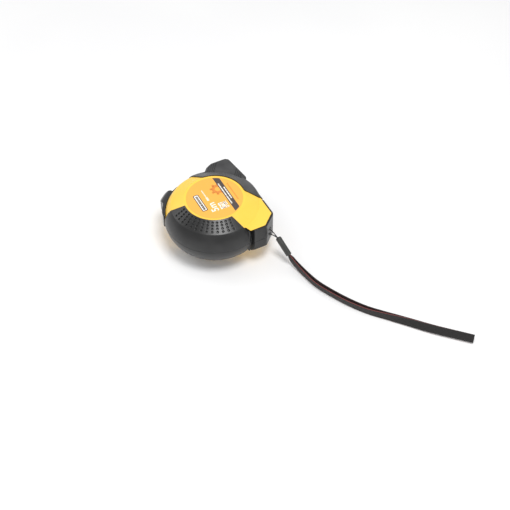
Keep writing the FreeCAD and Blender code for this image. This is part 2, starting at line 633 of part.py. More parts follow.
def lock_button():
    """Thumb knob with a thin tail and a skirt, hollow side on the case, pressed on the slider's stem."""
    outline = [polar(CASE_RADIUS + height, angle, -BUTTON_HALF) for height, angle in BUTTON_OUTLINE]
    curve = Part.BSplineCurve()
    curve.interpolate(outline)
    foot_a = polar(CASE_RADIUS - 4, BUTTON_OUTLINE[0][1], -BUTTON_HALF)
    foot_b = polar(CASE_RADIUS - 4, BUTTON_OUTLINE[-1][1], -BUTTON_HALF)
    wire = Part.Wire([curve.toShape(), Part.makeLine(outline[-1], foot_b), Part.makeLine(foot_b, foot_a),
                      Part.makeLine(foot_a, outline[0])])
    knob = Part.Face(wire).extrude(V(0, 0, 2 * BUTTON_HALF)).common(crowned_barrel())
    skirt = wedge(CASE_RADIUS - 4, CASE_RADIUS + SKIRT_TOP, *SKIRT_ANGLES, SKIRT_HALF)
    solid = knob.fuse(skirt).cut(round_body(BUTTON_LIFT))
    return merged(solid.cut(wedge(ARM_OUTER, STEM_TOP, *STEM_ANGLES, STEM_HALF)))


def crowned_barrel():
    """Turned form whose outside crowns the knob across its width."""
    edge, crown = CASE_RADIUS + BUTTON_EDGE, CASE_RADIUS + BUTTON_CROWN
    wire = Part.Wire([
        Part.makeLine(V(0, 0, -BUTTON_HALF), V(edge, 0, -BUTTON_HALF)),
        arc_through(V(edge, 0, -BUTTON_HALF), V(crown, 0, 0), V(edge, 0, BUTTON_HALF)),
        Part.makeLine(V(edge, 0, BUTTON_HALF), V(0, 0, BUTTON_HALF)),
        Part.makeLine(V(0, 0, BUTTON_HALF), V(0, 0, -BUTTON_HALF))])
    return Part.Face(wire).revolve(ORIGIN, Z_AXIS, 360)


def brake_pad():
    return wedge(ARM_INNER, PAD_OUTER, *PAD_ANGLES, PAD_HALF)


# --- belt clip -------------------------------------------------------------------------------------------
def belt_clip():
    """One bent strip: foot on the case, bend at the top, leg with a dip and a turned-out tip."""
    outer = CLIP_DROP / 2
    inner = outer - CLIP_THICK
    middle = CLIP_FACE - outer
    low = CLIP_FACE - CLIP_DROP
    bend = CLIP_BEND_Y
    half = CLIP_WIDTH / 2

    def p(y, z):
        return V(-half, y, z)

    lean = CLIP_THICK * 0.15
    outline = [
        Part.makeLine(p(CLIP_FOOT_END, CLIP_FACE), p(bend, CLIP_FACE)),
        arc_through(p(bend, CLIP_FACE), p(bend + outer, middle), p(bend, low)),
        Part.makePolygon([p(bend, low), p(CLIP_LEG_END, low), p(CLIP_DIP_Y, low + CLIP_DIP),
                          p(CLIP_TIP_Y, low), p(CLIP_TIP_Y - 0.8, low + 0.9),
                          p(CLIP_DIP_Y, low + CLIP_DIP + CLIP_THICK),
                          p(CLIP_LEG_END + lean, low + CLIP_THICK), p(bend, low + CLIP_THICK)]),
        arc_through(p(bend, low + CLIP_THICK), p(bend + inner, middle), p(bend, CLIP_FACE - CLIP_THICK)),
        Part.makePolygon([p(bend, CLIP_FACE - CLIP_THICK), p(CLIP_FOOT_END, CLIP_FACE - CLIP_THICK),
                          p(CLIP_FOOT_END, CLIP_FACE)])]
    edges = [edge for part in outline for edge in part.Edges]
    strip = Part.Face(Part.Wire(edges)).extrude(V(CLIP_WIDTH, 0, 0))
    hole = cylinder(CLIP_SCREW_RADIUS + SCREW_CLEAR, CLIP_FACE - CLIP_THICK, CLIP_FACE, 0, CLIP_SCREW_Y)
    access = cylinder(CLIP_ACCESS_RADIUS, low - 1, low + CLIP_THICK + 0.5, 0, CLIP_SCREW_Y)
    return strip.cut([hole, access])


def belt_clip_screw():
    seat = CLIP_FACE - CLIP_THICK
    shank = cylinder(CLIP_SCREW_RADIUS, seat, CLIP_FACE + CLIP_SCREW_LENGTH - 0.5, 0, CLIP_SCREW_Y)
    head = cylinder(CLIP_SCREW_HEAD_RADIUS, seat - CLIP_SCREW_HEAD, seat, 0, CLIP_SCREW_Y)
    arm = CLIP_SCREW_HEAD_RADIUS * 0.6
    y, low = CLIP_SCREW_Y, seat - CLIP_SCREW_HEAD
    cross = [box(-a, a, y - b, y + b, low, low + CLIP_SCREW_HEAD * 0.6)
             for a, b in ((arm, CROSS_SLOT / 2), (CROSS_SLOT / 2, arm))]
    return merged(shank.fuse(head)).cut(cross)


# --- lanyard ---------------------------------------------------------------------------------------------
def rounded_route(points, name, diameter):
    """Straight runs joined by tangent arcs, as edges; prints the tightest arc."""
    edges, last, tightest = [], points[0], None
    for before, corner, after in zip(points, points[1:], points[2:]):
        back, ahead = before - corner, after - corner
        shorter = min(back.Length, ahead.Length)
        turn = math.pi - back.getAngle(ahead)
        radius = 0.45 * shorter / math.tan(turn / 2)
        reach = 0.45 * shorter
        back.normalize()
        ahead.normalize()
        enter, leave = corner + back * reach, corner + ahead * reach
        middle = (back + ahead).normalize()
        depth = radius / math.cos(turn / 2) - radius
        edges.append(Part.makeLine(last, enter))
        edges.append(arc_through(enter, corner + middle * depth, leave))
        last = leave
        tightest = radius if tightest is None else min(tightest, radius)
    edges.append(Part.makeLine(last, points[-1]))
    length = sum(edge.Length for edge in edges)
    print(name, "length %.1f mm, tightest radius %.2f mm = %.1f diameters"
          % (length, tightest, tightest / diameter))
    return edges


def lanyard_cord():
    """One loop: out of the sleeve, round the bar inside the corner and back into the sleeve."""
    points = [V(*point) for point in CORD_POINTS]
    edges = rounded_route(points, "lanyard_cord", CORD_DIAMETER)
    route = Part.Wire(edges)
    start = (points[1] - points[0]).normalize()
    ring_wire = Part.Wire(Part.makeCircle(CORD_DIAMETER / 2, points[0], start))
    return route.makePipeShell([ring_wire], True, False)


def lanyard_bar():
    face, normal, along = slanted_frame()
    middle = face - normal * BAR_DEPTH
    return Part.makeCylinder(BAR_RADIUS, BAR_LENGTH, middle - along * (BAR_LENGTH / 2), along)


def lanyard_sleeve():
    """Moulded tube with a rounded upper end; cord and strap are held in its bore."""
    start, end = V(*SLEEVE_START), V(*SLEEVE_END)
    direction = end - start
    length = direction.Length
    tube = Part.makeCylinder(SLEEVE_RADIUS, length, start, direction)
    rims = [edge for edge in tube.Edges if isinstance(edge.Curve, Part.Circle)]
    tube = tube.makeFillet(SLEEVE_ROUND, sorted(rims, key=lambda e: -e.CenterOfMass.z)[:1])
    return tube.cut(Part.makeCylinder(SLEEVE_BORE, length, start, direction))


def strap_height(tilt, width, thick):
    """Height of the strap's middle above the surface when it touches it."""
    lean = math.radians(tilt)
    return width / 2 * math.sin(lean) + thick / 2 * abs(math.cos(lean)) + STRAP_LIFT


def wrist_strap():
    """Doubled webbing: squeezed into the sleeve, on edge beside it, then turning flat."""
    end = V(*SLEEVE_END)
    ahead = (end - V(*SLEEVE_START)).normalize()
    start, bend = end - ahead * STRAP_TUCK, end + ahead * STRAP_BEND
    knots = [(start, 90.0, *STRAP_NECK), (end, 90.0, *STRAP_NECK), (bend, 90.0, *STRAP_MOUTH)]
    points = [start, bend]
    for x, y, tilt, lift, thick in STRAP_POINTS:
        points.append(V(x, y, strap_height(tilt, STRAP_WIDTH, thick) + lift - SPLIT_HEIGHT))
        knots.append((points[-1], float(tilt), STRAP_WIDTH, thick))
    edges = rounded_route(points, "wrist_strap", STRAP_POINTS[0][4])
    stations = []
    for edge in edges:
        steps = 1 if isinstance(edge.Curve, Part.Line) else 3
        low, high = edge.ParameterRange
        forward = (edge.valueAt(low) - (stations[-1][0] if stations else points[0])).Length < 0.01
        for k in range(steps + 1):
            share = k / steps if forward else 1 - k / steps
            at = low + (high - low) * share
            tangent = edge.tangentAt(at) * (1 if forward else -1)
            place = edge.valueAt(at)
            if not stations or (place - stations[-1][0]).Length > 0.2:
                stations.append((place, tangent))
    return Part.makeLoft([strap_section(place, tangent, *strap_state(place, knots))
                          for place, tangent in stations], True, True)


def strap_state(place, knots):
    """Tilt, width and thickness at a place on the route, between the two nearest knots."""
    best = None
    for k in range(len(knots) - 1):
        first, step = knots[k][0], knots[k + 1][0] - knots[k][0]
        share = max(0.0, min(1.0, (place - first).dot(step) / step.dot(step)))
        gap = (first + step * share - place).Length
        if best is None or gap < best[0]:
            best = (gap, k, share)
    _, k, share = best
    return [a + (b - a) * share for a, b in zip(knots[k][1:], knots[k + 1][1:])]


def strap_section(place, tangent, tilt, width, thick):
    """Rectangle square to the route, its width leaning at tilt from the surface."""
    side = Z_AXIS.cross(tangent).normalize()
    up = tangent.cross(side).normalize()
    lean = math.radians(tilt)
    wide = (side * math.cos(lean) + up * math.sin(lean)) * (width / 2)
    deep = (up * math.cos(lean) - side * math.sin(lean)) * (thick / 2)
    return Part.makePolygon([place + wide + deep, place - wide + deep, place - wide - deep,
                             place + wide - deep, place + wide + deep])


# --- the whole tape ----------------------------------------------------------------------------------------
def build():
    openings = [mouth_cut(), lock_cut(), lanyard_cut(), bumper_box(), liner()]
    label_side = rubber_pieces(LABEL_BEVELS)
    clip_side = rubber_pieces(CLIP_BEVELS)
    pieces = {
        "case_shell_label_side": label_side_shell(label_side),
        "case_shell_clip_side": clip_side_shell(clip_side),
    }
    patterns = (("rear_grip", [dimples()]), ("nose_boot", nose_grooves()), ("corner_grip", []))
    for (name, pattern), label_rubber, clip_rubber in zip(patterns, label_side, clip_side):
        cuts = openings + pattern
        pieces[name + "_label_side"] = label_rubber.cut(cuts)
        pieces[name + "_clip_side"] = mirrored(clip_rubber.cut(cuts)).cut(screw_ways())
    pieces.update({
        "label": cylinder(LABEL_RADIUS, FACE_HALF - LABEL_THICK - LABEL_SUNK, FACE_HALF - LABEL_SUNK),
        "case_screws": Part.makeCompound([case_screw(x, y) for x, y in SCREW_PLACES]),
        "belt_clip": belt_clip(),
        "belt_clip_screw": belt_clip_screw(),
        "centre_post": post(),
        "power_spring": power_spring(),
        "mouth_liner": liner(),
        "hook_bumper": bumper_box(),
        "spring_drum": drum(),
        "drum_cover": drum_cover(),
        "blade_coil": ring(DRUM_RADIUS, COIL_RADIUS, -BLADE_WIDTH / 2, BLADE_WIDTH / 2),
        "blade_lead": lead(),
        "hook_rivets": rivets(),
        "end_hook": hook(),
        "lock_slider": lock_slider(),
        "lock_button": lock_button(),
        "brake_pad": brake_pad(),
        "lanyard_bar": lanyard_bar(),
        "lanyard_cord": lanyard_cord(),
        "lanyard_sleeve": lanyard_sleeve(),
        "wrist_strap": wrist_strap(),
    })
    return pieces


os.makedirs("parts", exist_ok=True)
for node, shape in build().items():
    shape.translate(V(0, 0, SPLIT_HEIGHT))
    shape.exportStep(os.path.join("parts", node + ".step"))
    bounds = shape.BoundBox
    print("%-24s solids %d valid %s volume %9.1f  z %.2f..%.2f" % (
        node, len(shape.Solids), shape.isValid(), shape.Volume, bounds.ZMin, bounds.ZMax))
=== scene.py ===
"""Looks of the pocket tape measure: two-colour case, soft grips, printed label and wrist strap."""
import bpy
import bmesh
import math
import random
from mathutils import Matrix, Vector
from mathutils.bvhtree import BVHTree


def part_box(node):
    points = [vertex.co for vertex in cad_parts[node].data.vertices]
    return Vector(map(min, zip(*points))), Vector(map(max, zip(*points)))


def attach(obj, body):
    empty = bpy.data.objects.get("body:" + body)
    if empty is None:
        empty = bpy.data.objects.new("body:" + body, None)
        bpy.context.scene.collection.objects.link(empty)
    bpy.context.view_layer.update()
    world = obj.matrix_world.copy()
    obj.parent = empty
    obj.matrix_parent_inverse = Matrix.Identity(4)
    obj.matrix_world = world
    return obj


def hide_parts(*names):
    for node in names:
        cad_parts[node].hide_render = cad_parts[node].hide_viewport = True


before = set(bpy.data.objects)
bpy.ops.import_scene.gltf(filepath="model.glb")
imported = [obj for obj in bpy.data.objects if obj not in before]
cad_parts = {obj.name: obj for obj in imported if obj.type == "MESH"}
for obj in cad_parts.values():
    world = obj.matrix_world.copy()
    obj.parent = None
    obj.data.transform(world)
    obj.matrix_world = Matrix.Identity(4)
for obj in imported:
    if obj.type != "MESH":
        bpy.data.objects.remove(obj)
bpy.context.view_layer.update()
MM = 0.001


def low(node):
    return Vector(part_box(node)[0])


def high(node):
    return Vector(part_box(node)[1])


SPLIT = (low("blade_coil").z + high("blade_coil").z) / 2        # height of the case's split plane
LABEL_TOP = high("label").z
LABEL_RADIUS = (high("label").x - low("label").x) / 2
BLADE_FRONT = high("blade_lead").x


# --- shader helpers -------------------------------------------------------------------------------
class Flow:
    """A value in a material's nodes; arithmetic on it adds Math nodes."""

    def __init__(self, finish, socket):
        self.finish, self.socket = finish, socket

    def math(self, operation, *others):
        return self.finish.node("Math", {"operation": operation}, *others)

    def __add__(self, other):
        return self.math("ADD", self, other)

    def __radd__(self, other):
        return self.math("ADD", other, self)

    def __sub__(self, other):
        return self.math("SUBTRACT", self, other)

    def __rsub__(self, other):
        return self.math("SUBTRACT", other, self)

    def __mul__(self, other):
        return self.math("MULTIPLY", self, other)

    def __rmul__(self, other):
        return self.math("MULTIPLY", other, self)

    def __pow__(self, other):
        return self.math("POWER", self, other)

    def sine(self):
        return self.math("SINE", self)

    def smooth(self, start, end, low_value=0.0, high_value=1.0):
        settings = {"interpolation_type": "SMOOTHSTEP"}
        return self.finish.node("MapRange", settings, self, start, end, low_value, high_value)


class Finish:
    """A material built from nodes on one Principled surface."""

    def __init__(self, name, **uniform):
        self.material = bpy.data.materials.new(name)
        self.material.use_nodes = True
        self.tree = self.material.node_tree
        self.surface = next(n for n in self.tree.nodes if n.type == "BSDF_PRINCIPLED")
        for key, value in uniform.items():
            self.set(key.replace("_", " "), value)
        self.place = self.node("TexCoord", {}, out="Object")

    def node(self, kind, settings, *values, out=0, **named):
        """Adds a node: its settings first, then values or links for its sockets."""
        made = self.tree.nodes.new("ShaderNode" + kind)
        for key, value in settings.items():
            setattr(made, key, value)
        sockets = [(made.inputs[k], v) for k, v in enumerate(values)]
        sockets += [(made.inputs[key.replace("_", " ")], v) for key, v in named.items()]
        for socket, value in sockets:
            if isinstance(value, Flow):
                self.tree.links.new(value.socket, socket)
            elif value is not None:
                socket.default_value = value
        return Flow(self, made.outputs[out])

    def set(self, name, value):
        socket = self.surface.inputs[name]
        if isinstance(value, Flow):
            self.tree.links.new(value.socket, socket)
        else:
            socket.default_value = value

    def noise(self, scale, detail=2.0, stretch=None, roughness=0.5):
        """Grey noise; scale counts its patches per metre."""
        where = self.place
        if stretch:
            where = self.node("Mapping", {}, Vector=where, Scale=stretch)
        return self.node("TexNoise", {}, Vector=where, Scale=scale, Detail=detail,
                         Roughness=roughness)

    def axis(self, name):
        return self.node("SeparateXYZ", {}, self.place, out="XYZ".index(name))

    def blend(self, share, first, second):
        """Colour between two, by share; the node's colour sockets come after its numbers."""
        numbers = [None] * 5
        return self.node("Mix", {"data_type": "RGBA"}, share, *numbers, first, second, out=2)

    def relief(self, height, depth, strength=1.0, under=None):
        """Bump of the given depth in metres."""
        return self.node("Bump", {}, Strength=strength, Distance=depth, Height=height, Normal=under)


def colour(r, g, b):
    """Linear colour from display values of 0 to 255."""
    def straight(v):
        v /= 255
        return v / 12.92 if v <= 0.04045 else ((v + 0.055) / 1.055) ** 2.4
    return (straight(r), straight(g), straight(b), 1.0)


# --- finishes -------------------------------------------------------------------------------------
def yellow_plastic():
    """Moulded ABS: a little orange peel, faint colour drift and handling marks in the gloss."""
    f = Finish("case_yellow_abs", Roughness=0.38, Coat_Roughness=0.12)
    drift = f.noise(38, 3)
    f.set("Base Color", f.blend(drift.smooth(0.3, 0.75),
                                colour(255, 209, 80), colour(252, 203, 72)))
    grain = f.noise(2600, 2)
    wipes = f.noise(160, 4, stretch=(1, 0.25, 1))
    f.set("Roughness", 0.33 + 0.12 * wipes.smooth(0.35, 0.7) + 0.05 * grain)
    f.set("Normal", f.relief(grain, 0.00003, 0.35))
    return f.material


def soft_rubber(name="grip_soft_black", tone=1.0):
    """Soft moulding: matte, finely sparked surface with slightly greyer patches from handling; a
    tone above one makes a lighter copy, which is painted light.
    """
    f = Finish(name, Roughness=0.4, Specular_IOR_Level=0.5)
    sparks = f.noise(5200, 2, roughness=0.65)
    patches = f.noise(90, 4)
    # A tone above one lightens this rubber as painted light, not as a different rubber.
    dark = tuple(v * tone for v in (0.011, 0.011, 0.0115)) + (1.0,)
    pale = tuple(v * tone for v in (0.020, 0.020, 0.0205)) + (1.0,)
    f.set("Base Color", f.blend(patches.smooth(0.3, 0.75), dark, pale))
    f.set("Roughness", 0.27 + 0.08 * sparks + 0.06 * patches)
    f.set("Normal", f.relief(sparks, 0.00004, 0.35))
    return f.material


def label_film():
    """Orange printed film: a faint halftone and a satin coat."""
    f = Finish("label_orange_film", Roughness=0.35, Coat_Roughness=0.2)
    drift = f.noise(60, 2)
    x, y = f.axis("X"), f.axis("Y")
    dots = (x * 5200).sine() * (y * 5200).sine()
    f.set("Base Color", f.blend(drift * 0.6 + dots.smooth(-0.4, 0.8) * 0.25,
                                colour(250, 184, 78), colour(246, 177, 70)))
    f.set("Roughness", 0.34 + 0.12 * f.noise(240, 3))
    f.set("Coat Weight", 0.3 + 0.1 * drift)
    f.set("Normal", f.relief(f.noise(900, 2), 0.00001, 0.25))
    return f.material


def print_ink(name, tone, second):
    """Flat ink with the faint unevenness of a printed film."""
    f = Finish(name, Roughness=0.4)
    f.set("Base Color", f.blend(f.noise(700, 3).smooth(0.35, 0.7), tone, second))
    f.set("Roughness", 0.36 + 0.1 * f.noise(400, 2))
    return f.material


def gloss_black():
    """Polished black ABS of the lock button, with fine hairlines in its gloss."""
    f = Finish("lock_gloss_black", Coat_Roughness=0.05)
    hair = f.noise(900, 4, stretch=(1, 6, 0.4))
    f.set("Base Color", f.blend(f.noise(120, 2),
                                (0.012, 0.012, 0.013, 1), (0.020, 0.020, 0.021, 1)))
    f.set("Roughness", 0.18 + 0.14 * hair.smooth(0.45, 0.75))
    f.set("Coat Weight", 0.4 + 0.1 * hair)
    f.set("Normal", f.relief(hair, 0.00001, 0.2))
    return f.material


def satin_plastic(name, tone, second, rough=0.42):
    f = Finish(name, Roughness=rough)
    grain = f.noise(3200, 2)
    f.set("Base Color", f.blend(f.noise(140, 3).smooth(0.3, 0.7), tone, second))
    f.set("Roughness", rough - 0.05 + 0.12 * grain)
    f.set("Normal", f.relief(grain, 0.00003, 0.3))
    return f.material


def plain_steel(name, tone, second, rough=0.3, stretch=(1, 0.06, 1)):
    """Steel with drawn grain along one direction and faint stains."""
    f = Finish(name, Metallic=1.0, Roughness=rough)
    grain = f.noise(2600, 4, stretch=stretch)
    stain = f.noise(140, 3)
    f.set("Base Color", f.blend(stain.smooth(0.3, 0.75), tone, second))
    f.set("Roughness", rough - 0.08 + 0.18 * grain + 0.06 * stain)
    f.set("Normal", f.relief(grain, 0.00002, 0.35))
    return f.material


def blade_lacquer():
    """Yellow lacquer over steel, worn a little paler in streaks along the blade."""
    f = Finish("blade_yellow_lacquer", Roughness=0.3, Coat_Roughness=0.15)
    streaks = f.noise(1400, 3, stretch=(0.05, 1, 1))
    f.set("Base Color", f.blend(streaks.smooth(0.3, 0.75),
                                colour(250, 206, 40), colour(243, 190, 30)))
    f.set("Roughness", 0.26 + 0.14 * streaks)
    f.set("Coat Weight", 0.35 + 0.15 * streaks)
    return f.material


def wound_blade():
    """Edge of many turns of blade: fine rings round the reel's axis."""
    f = Finish("blade_wound_edges", Metallic=0.7, Roughness=0.35)
    x, y = f.axis("X"), f.axis("Y")
    radius = (x * x + y * y) ** 0.5
    turns = (radius * 30000).sine()
    f.set("Base Color", f.blend(turns.smooth(-0.2, 0.7),
                                colour(214, 168, 40), colour(126, 122, 116)))
    f.set("Roughness", 0.3 + 0.2 * turns.smooth(-1, 1))
    f.set("Normal", f.relief(turns, 0.00004, 0.5))
    return f.material


def webbing_weave(name, tone, second, sheen_tone):
    """Woven polyester: cross ribs with fine threads and a soft sheen."""
    f = Finish(name, Roughness=0.85, Sheen_Weight=0.25, Sheen_Roughness=0.5, Sheen_Tint=sheen_tone)
    threads = f.noise(5200, 3)
    fuzz = f.noise(900, 4)
    f.set("Base Color", f.blend((threads * 0.7 + fuzz * 0.4).smooth(0.35, 0.75), tone, second))
    f.set("Roughness", 0.74 + 0.2 * threads)
    f.set("Normal", f.relief(threads, 0.00012, 0.6))
    return f.material


def floor_paint():
    f = Finish("studio_floor", Roughness=0.9)
    f.set("Base Color", f.blend(f.noise(6, 2).smooth(0.3, 0.7),
                                (0.93, 0.93, 0.93, 1), (0.90, 0.90, 0.905, 1)))
    return f.material


YELLOW = yellow_plastic()
RUBBER = soft_rubber()
# The nose boots get the same black rubber painted 3.4 times lighter, as painted light for the lit
# nose.
BOOT_RUBBER_PAINTED_LIT = soft_rubber("boot_soft_grey_black", 3.4)
LABEL = label_film()
INK_DARK = print_ink("print_charcoal", colour(84, 74, 72), colour(74, 66, 64))
INK_WHITE = print_ink("print_white", colour(250, 246, 236), colour(244, 238, 226))
INK_RUST = print_ink("print_burnt_orange", colour(226, 142, 62), colour(218, 132, 54))
INK_BLACK = print_ink("print_black", colour(28, 27, 26), colour(36, 34, 33))
GLOSS = gloss_black()
SATIN_BLACK = satin_plastic("satin_black_plastic", (0.022, 0.022, 0.023, 1),
                            (0.032, 0.032, 0.033, 1))
ACETAL = satin_plastic("natural_acetal", (0.72, 0.71, 0.67, 1), (0.66, 0.65, 0.61, 1), 0.36)
SLEEVE_GREY = satin_plastic("sleeve_dark_grey", (0.036, 0.037, 0.033, 1),
                            (0.048, 0.049, 0.045, 1), 0.3)
ZINC = plain_steel("zinc_plate", (0.62, 0.63, 0.62, 1), (0.52, 0.53, 0.54, 1), 0.36)
NICKEL = plain_steel("nickel_clip", (0.72, 0.72, 0.71, 1), (0.64, 0.64, 0.65, 1), 0.28)
BLUED = plain_steel("blued_spring", (0.20, 0.22, 0.28, 1), (0.30, 0.29, 0.27, 1), 0.32)
LACQUER = blade_lacquer()
WOUND = wound_blade()
WEB_BLACK = webbing_weave("webbing_black", (0.008, 0.007, 0.007, 1), (0.020, 0.018, 0.018, 1),
                          (0.6, 0.6, 0.6, 1))
WEB_RED = webbing_weave("webbing_red_edge", (0.11, 0.022, 0.022, 1), (0.24, 0.060, 0.055, 1),
                        (0.8, 0.5, 0.5, 1))
WEB_MAROON = webbing_weave("webbing_maroon_inside", (0.020, 0.008, 0.008, 1),
                           (0.060, 0.018, 0.017, 1), (0.6, 0.5, 0.5, 1))
BRAID = webbing_weave("cord_braid_black", (0.010, 0.010, 0.010, 1), (0.024, 0.024, 0.024, 1),
                      (0.5, 0.5, 0.5, 1))


# --- mesh helpers ---------------------------------------------------------------------------------
def dress(node, material):
    """Puts a material on a CAD node's own slots."""
    piece = bpy.data.objects[node]
    if not piece.material_slots:
        piece.data.materials.append(material)
    for slot in piece.material_slots:
        slot.material = material


def new_piece(name, mesh, material, body):
    piece = bpy.data.objects.new(name, mesh)
    bpy.context.scene.collection.objects.link(piece)
    if material and not mesh.materials:
        mesh.materials.append(material)
    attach(piece, body)
    return piece


def apply_modifiers(piece):
    graph = bpy.context.evaluated_depsgraph_get()
    finished = bpy.data.meshes.new_from_object(piece.evaluated_get(graph))
    piece.modifiers.clear()
    piece.data = finished


def softened(node, name, material, body, cell, passes):
    """A moulded piece with the small rounds of its mould: the node's form, its edges eased."""
    mesh = bpy.data.objects[node].data.copy()
    mesh.materials.clear()
    piece = new_piece(name, mesh, material, body)
    remesh = piece.modifiers.new("cells", "REMESH")
    remesh.mode, remesh.voxel_size = "VOXEL", cell
    ease = piece.modifiers.new("ease", "SMOOTH")
    ease.factor, ease.iterations = 0.5, passes
    apply_modifiers(piece)
    for face in piece.data.polygons:
        face.use_smooth = True
    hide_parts(node)
    return piece


def flat_shape(outline, height, thick):
    """Mesh of a thin flat shape, its outline given as (x, y) points."""
    mesh = bpy.data.meshes.new("flat_shape")
    build = bmesh.new()
    verts = [build.verts.new((x, y, height)) for x, y in outline]
    face = build.faces.new(verts)
    raised = bmesh.ops.extrude_face_region(build, geom=[face])
    tops = [v for v in raised["geom"] if isinstance(v, bmesh.types.BMVert)]
    bmesh.ops.translate(build, verts=tops, vec=(0, 0, thick))
    bmesh.ops.recalc_face_normals(build, faces=build.faces[:])
    bmesh.ops.triangulate(build, faces=[f for f in build.faces if len(f.verts) > 4])
    build.to_mesh(mesh)
    build.free()
    return mesh


def joined(meshes):
    """One mesh from several."""
    build = bmesh.new()
    for mesh in meshes:
        build.from_mesh(mesh)
        bpy.data.meshes.remove(mesh)
    whole = bpy.data.meshes.new("joined")
    build.to_mesh(whole)
    build.free()
    return whole


def rectangle(x0, x1, y0, y1):
    return [(x0, y0), (x1, y0), (x1, y1), (x0, y1)]


def rounded(x0, x1, y0, y1, radius, steps=5):
    points = []
    for cx, cy, start in ((x1 - radius, y1 - radius, 0), (x0 + radius, y1 - radius, 90),
                          (x0 + radius, y0 + radius, 180), (x1 - radius, y0 + radius, 270)):
        for k in range(steps + 1):
            a = math.radians(start + 90 * k / steps)
            points.append((cx + radius * math.cos(a), cy + radius * math.sin(a)))
    return points


# --- camera and light -----------------------------------------------------------------------------
EYE = (-0.5160, 0.2403, 0.6232)
EYE_AZIMUTH = -117.82
EYE_ELEVATION = 48.50
EYE_LENS = 82.1
FLOOR_SIDE = 3.0            # half the floor's width
FLOOR_GAP = 0.0002          # under the pieces that rest on it


def camera():
    """Long lens over the tape's rear shoulder."""
    data = bpy.data.cameras.new("camera")
    data.lens, data.sensor_width = EYE_LENS, 36.0
    data.clip_start, data.clip_end = 0.01, 10
    eye = bpy.data.objects.new("camera", data)
    bpy.context.scene.collection.objects.link(eye)
    azimuth, elevation = math.radians(EYE_AZIMUTH), math.radians(EYE_ELEVATION)
    back = Vector((math.sin(azimuth) * math.cos(elevation),
                   -math.cos(azimuth) * math.cos(elevation), math.sin(elevation)))
    eye.location = EYE
    eye.rotation_euler = back.to_track_quat("Z", "Y").to_euler()
    bpy.context.scene.camera = eye


def light(name, place, target, size, power):
    data = bpy.data.lights.new(name, "AREA")
    data.shape, data.size, data.energy = "SQUARE", size, power
    lamp = bpy.data.objects.new(name, data)
    lamp.location = place
    lamp.rotation_euler = (Vector(target) - Vector(place)).to_track_quat("-Z", "Y").to_euler()
    bpy.context.scene.collection.objects.link(lamp)


def studio():
    world = bpy.data.worlds.new("studio")
    world.use_nodes = True
    sky = next(n for n in world.node_tree.nodes if n.type == "BACKGROUND")
    sky.inputs["Color"].default_value = (1, 1, 1, 1)
    sky.inputs["Strength"].default_value = 0.64
    bpy.context.scene.world = world
    bpy.context.scene.view_settings.view_transform = "Standard"
    # name, place, target, side and watts
    light("softbox_over", (-0.25, 0.0, 0.86), (-0.03, -0.02, 0), 0.30, 4.3)
    light("softbox_low", (-0.72, -0.19, 0.57), (-0.04, -0.03, 0.01), 0.12, 0.35)
    light("softbox_nose", (0.55, 0.45, 0.6), (0, 0, 0.02), 0.35, 0.9)
    mesh = bpy.data.meshes.new("floor")
    corners = rectangle(-FLOOR_SIDE, FLOOR_SIDE, -FLOOR_SIDE, FLOOR_SIDE)
    mesh.from_pydata([(x, y, 0) for x, y in corners], [], [(0, 1, 2, 3)])
    mesh.materials.append(floor_paint())
    floor = bpy.data.objects.new("floor", mesh)
    floor.location.z = -FLOOR_GAP
    bpy.context.scene.collection.objects.link(floor)


camera()
studio()

# --- lanyard cord and strap -----------------------------------------------------------------------
CORD_DIAMETER = 0.8
CORD_POINTS = [(-40.0, -31.7, -7.3), (-37.1, -30.7, -4.1), (-31.7, -27.1, 2.7),
               (-25.6, -21.7, 2.7), (-25.6, -21.7, -2.7), (-31.7, -27.1, -2.7),
               (-36.6, -31.5, -4.9), (-39.4, -32.6, -7.9)]
CORD_EXIT = CORD_POINTS[2]   # where the cord leaves the corner
CORD_STEP = 0.16            # between cross sections of the braid
CORD_AROUND = 12            # points round a cross section
BRAID_STRANDS = 4           # that wind each way
BRAID_TURN = 5.2            # radians of weave to a millimetre
SLEEVE_START = (-36.5, -31.0, -4.2)
SLEEVE_END = (-46.4, -34.6, -14.5)
STRAP_WIDTH = 5.6
STRAP_LIFT = 0.1
STRAP_NECK = (1.9, 1.2)
STRAP_MOUTH = (4.2, 2.2)
STRAP_TUCK = 8.0
STRAP_BEND = 2.9
# x, y, the strap's tilt (90 stands on edge, 0 lies flat), how far it is off the surface and
# the thickness of both layers with the gap between them
STRAP_POINTS = [(-53.8, -37.0, 93, 1.2, 2.3), (-63.0, -38.9, 97, 0, 2.8),
                (-74.6, -41.1, 101, 0, 3.2), (-86.5, -46.2, 101, 0, 3.2),
                (-98.6, -52.2, 99, 0, 3.2), (-111.0, -60.1, 95, 0, 3.0),
                (-121.7, -69.7, 84, 0, 2.4), (-133.1, -79.9, 65, 0, 1.8),
                (-145.4, -90.7, 52, 0, 1.8), (-156.0, -101.4, 46, 0, 1.8),
                (-165.2, -110.7, 42, 0, 1.8)]
WEB_THICK = 0.85            # one layer of the strap
LAYER_SHARE = 0.46          # of the strap, where it is squeezed thinner than two layers
STRAP_ACROSS = 22           # points across each face of a layer
STRAP_STEP = 0.2            # between cross sections
RIB_EVERY = 0.85            # cross ribs of the weave
RIB_HIGH = 0.09
PIPING_FROM = 0.8           # of the half width
PIPING_HIGH = 0.10
ON_EDGE = 90.0


def place(x, y, z):
    """Metres in the frame, from millimetres about the split plane."""
    return Vector((x * MM, y * MM, z * MM + SPLIT))


def smooth_curve(name, points):
    """NURBS curve on the given control points."""
    data = bpy.data.curves.new(name, "CURVE")
    data.dimensions, data.resolution_u = "3D", 24
    spline = data.splines.new("NURBS")
    spline.points.add(len(points) - 1)
    for knot, point in zip(spline.points, points):
        knot.co = (*point, 1.0)
    spline.order_u = 3
    spline.use_endpoint_u = True
    curve = bpy.data.objects.new(name, data)
    bpy.context.scene.collection.objects.link(curve)
    return curve


